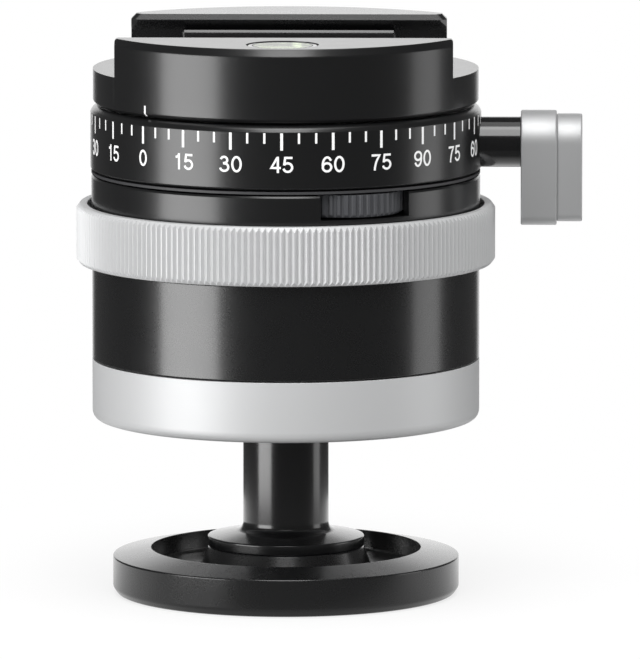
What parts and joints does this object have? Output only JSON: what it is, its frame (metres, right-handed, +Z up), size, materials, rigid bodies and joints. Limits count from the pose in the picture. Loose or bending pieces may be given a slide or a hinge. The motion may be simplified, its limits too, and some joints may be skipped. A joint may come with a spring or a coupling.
{
  "type": "ball head",
  "caption": "Inverted ball head: round foot and stem, ball inside a cylindrical housing with a knurled lock ring, degree scale, pan lock lever and dovetail clamp.",
  "frame": {"origin": "middle of the foot's underside, on the axis of the stem, the ball and the housing", "axes": "+Z up along the stem and housing, -Y towards the fixed jaw and the thumbwheel (the pictured front), +X towards the pan lock lever"},
  "size_m": [0.0874, 0.0804, 0.098],
  "materials": {
    "black": "satin black anodised aluminium",
    "silver": "satin silver anodised aluminium",
    "steel": "turned steel",
    "brass": "turned brass",
    "plastic": "black bearing plastic",
    "vial": "clear bubble vial"
  },
  "bodies": {
    "root": {"foot_disc": "black", "tripod_bush": "steel", "foot_pin": "steel", "stem": "black"},
    "ball": {"ball": "black", "ball_screw": "steel"},
    "housing": {"ball_collar": "silver", "lower_seat": "plastic", "barrel": "black", "neck": "black", "neck_screw_1": "steel", "neck_screw_2": "steel", "neck_screw_3": "steel", "neck_screw_4": "steel", "wheel_axle": "steel", "slip_washer": "plastic", "scale_ring": "black", "scale_screw_1": "steel", "scale_screw_2": "steel", "scale_screw_3": "steel", "pan_shoe": "brass", "pressure_cup": "plastic"},
    "lock_ring": {"lock_ring": "silver", "cam_ring": "brass", "ring_key_1": "steel", "ring_key_2": "steel", "ring_key_3": "steel"},
    "friction_wheel": {"friction_wheel": "black"},
    "pan_lock": {"pan_lock_shaft": "black", "pan_lock_lever": "silver", "pan_lock_cap": "silver"},
    "pan_head": {"pan_spindle": "steel", "spindle_nut": "brass", "clamp_disc": "black", "level_case": "black", "level_vial": "vial", "deck_screw": "steel"},
    "rear_jaw": {"rear_jaw": "black", "jaw_pad": "black", "guide_rod_1": "steel", "guide_rod_2": "steel", "clamp_pin": "steel"},
    "clamp_lever": {"clamp_lever": "silver"}
  },
  "joints": [
    {"name": "ball_swivel", "type": "hinge", "parent": "root", "child": "ball", "pos_m": [0, 0, 0.049], "axis": [0, 0, 1], "continuous": true},
    {"name": "head_tilt", "type": "hinge", "parent": "ball", "child": "housing", "pos_m": [0, 0, 0.049], "axis": [-1, 0, 0], "range_deg": [-36, 90]},
    {"name": "lock_ring_turn", "type": "hinge", "parent": "housing", "child": "lock_ring", "pos_m": [0, 0, 0.0578], "axis": [0, 0, 1], "range_deg": [0, 60]},
    {"name": "friction_wheel_turn", "type": "hinge", "parent": "housing", "child": "friction_wheel", "pos_m": [0.01015, -0.02109, 0.0691], "axis": [0, 0, 1], "continuous": true},
    {"name": "pan_lock_turn", "type": "hinge", "parent": "housing", "child": "pan_lock", "pos_m": [0.03375, 0, 0.0786], "axis": [1, 0, 0], "range_deg": [0, 100]},
    {"name": "pan_turn", "type": "hinge", "parent": "housing", "child": "pan_head", "pos_m": [0, 0, 0.0854], "axis": [0, 0, 1], "continuous": true},
    {"name": "rear_jaw_slide", "type": "slide", "parent": "pan_head", "child": "rear_jaw", "axis": [0, 1, 0], "range_m": [0, 0.004]},
    {"name": "clamp_lever_turn", "type": "hinge", "parent": "rear_jaw", "child": "clamp_lever", "pos_m": [-0.02163, 0.02977, 0.092], "axis": [0, 0, 1], "range_deg": [0, 90]}
  ],
  "couplings": [
    {"joint": "rear_jaw_slide", "follows": "clamp_lever_turn", "m_per_rad": 0.0025}
  ]
}
